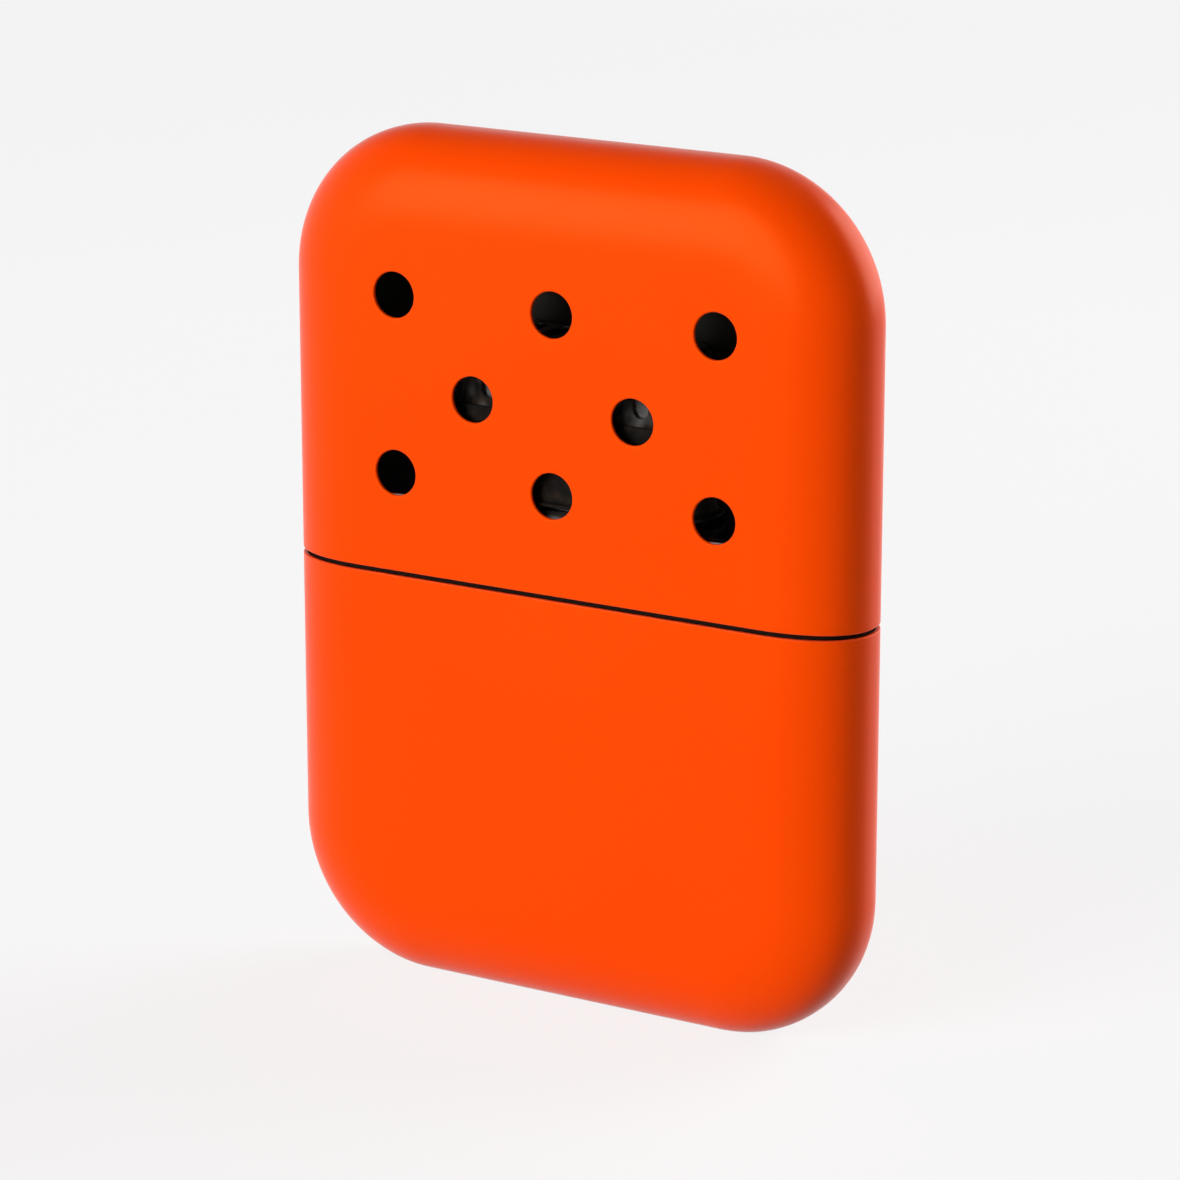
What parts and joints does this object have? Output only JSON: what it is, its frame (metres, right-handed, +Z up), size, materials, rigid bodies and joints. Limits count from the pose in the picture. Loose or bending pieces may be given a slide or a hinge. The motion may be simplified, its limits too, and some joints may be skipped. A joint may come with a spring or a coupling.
{
  "type": "catalytic hand warmer",
  "caption": "Flat pocket hand warmer: a vented, painted metal lid over a plated collar, a lift-off catalytic burner and a fuel tank packed with cotton.",
  "frame": {"origin": "middle of the flat foot on which the case stands upright, at the bottom of the case", "axes": "+Z up along the case, towards the lid; the vented front faces -Y; +X to the right seen from the front"},
  "size_m": [0.07, 0.0132, 0.0946],
  "materials": {
    "orange_paint": "smooth glossy enamel on drawn sheet metal",
    "bright_plate": "bright plating, a little rubbed where the lid slides",
    "burner_steel": "satin stainless pressing, tinted by heat, with a dark film on its long walls",
    "glass_fibre": "grey woven glass fibre carrying the catalyst",
    "felt": "dense off-white wick felt",
    "cotton": "loose absorbent cotton"
  },
  "bodies": {
    "tank": {"lower_case": "orange_paint", "collar_shell": "bright_plate", "neck_tube": "bright_plate", "wick_felt": "felt", "cotton_layer_1": "cotton", "cotton_layer_2": "cotton", "cotton_layer_3": "cotton"},
    "lid": {"lid_shell": "orange_paint"},
    "burner": {"burner_base": "burner_steel", "burner_cage": "burner_steel", "catalyst_screen": "burner_steel", "catalyst_pad": "glass_fibre"}
  },
  "joints": [
    {"name": "lid_slide", "type": "slide", "parent": "tank", "child": "lid", "axis": [0, 0, 1], "range_m": [0, 0.055]},
    {"name": "burner_slide", "type": "slide", "parent": "tank", "child": "burner", "axis": [0, 0, 1], "range_m": [0, 0.015]}
  ]
}
